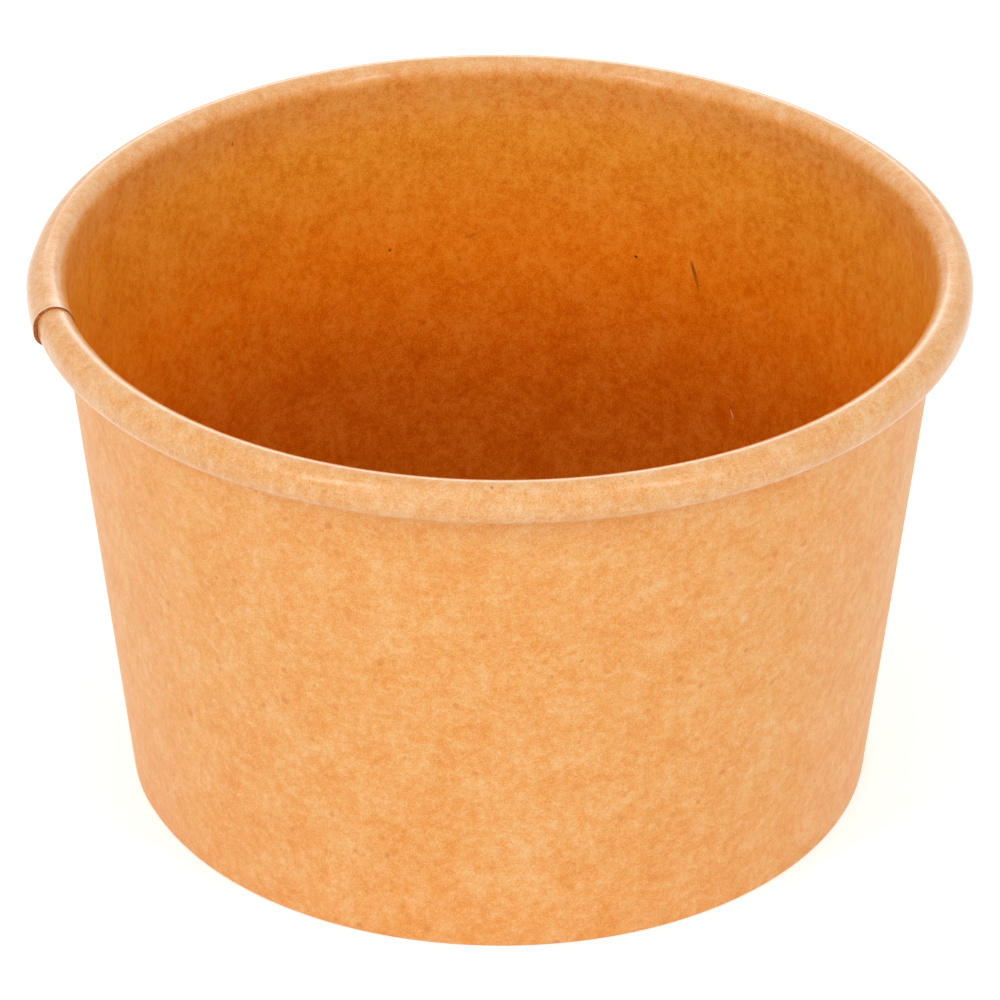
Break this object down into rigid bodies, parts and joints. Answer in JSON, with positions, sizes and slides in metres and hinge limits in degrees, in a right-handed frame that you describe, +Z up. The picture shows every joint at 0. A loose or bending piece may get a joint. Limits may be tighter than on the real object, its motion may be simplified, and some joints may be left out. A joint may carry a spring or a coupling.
{
  "type": "paper ice cream tub",
  "caption": "Low round tapered paper tub with a rolled rim, a glued side seam and a bottom held in a folded base edge, for ice cream or other food.",
  "frame": {"origin": "centre of the standing edge, on the ground", "axes": "+Z up along the tub's axis; the side seam lies on the -X side, 15 degrees towards -Y, and -Y is the side the picture shows in front"},
  "size_m": [0.0952, 0.095, 0.058],
  "materials": {
    "sidewall_board": "plain brown kraft board, soft satin from its thin clear coating",
    "bottom_board": "plain brown kraft board, soft satin from its thin clear coating"
  },
  "bodies": {
    "root": {"sidewall": "sidewall_board", "bottom": "bottom_board"}
  },
  "joints": []
}
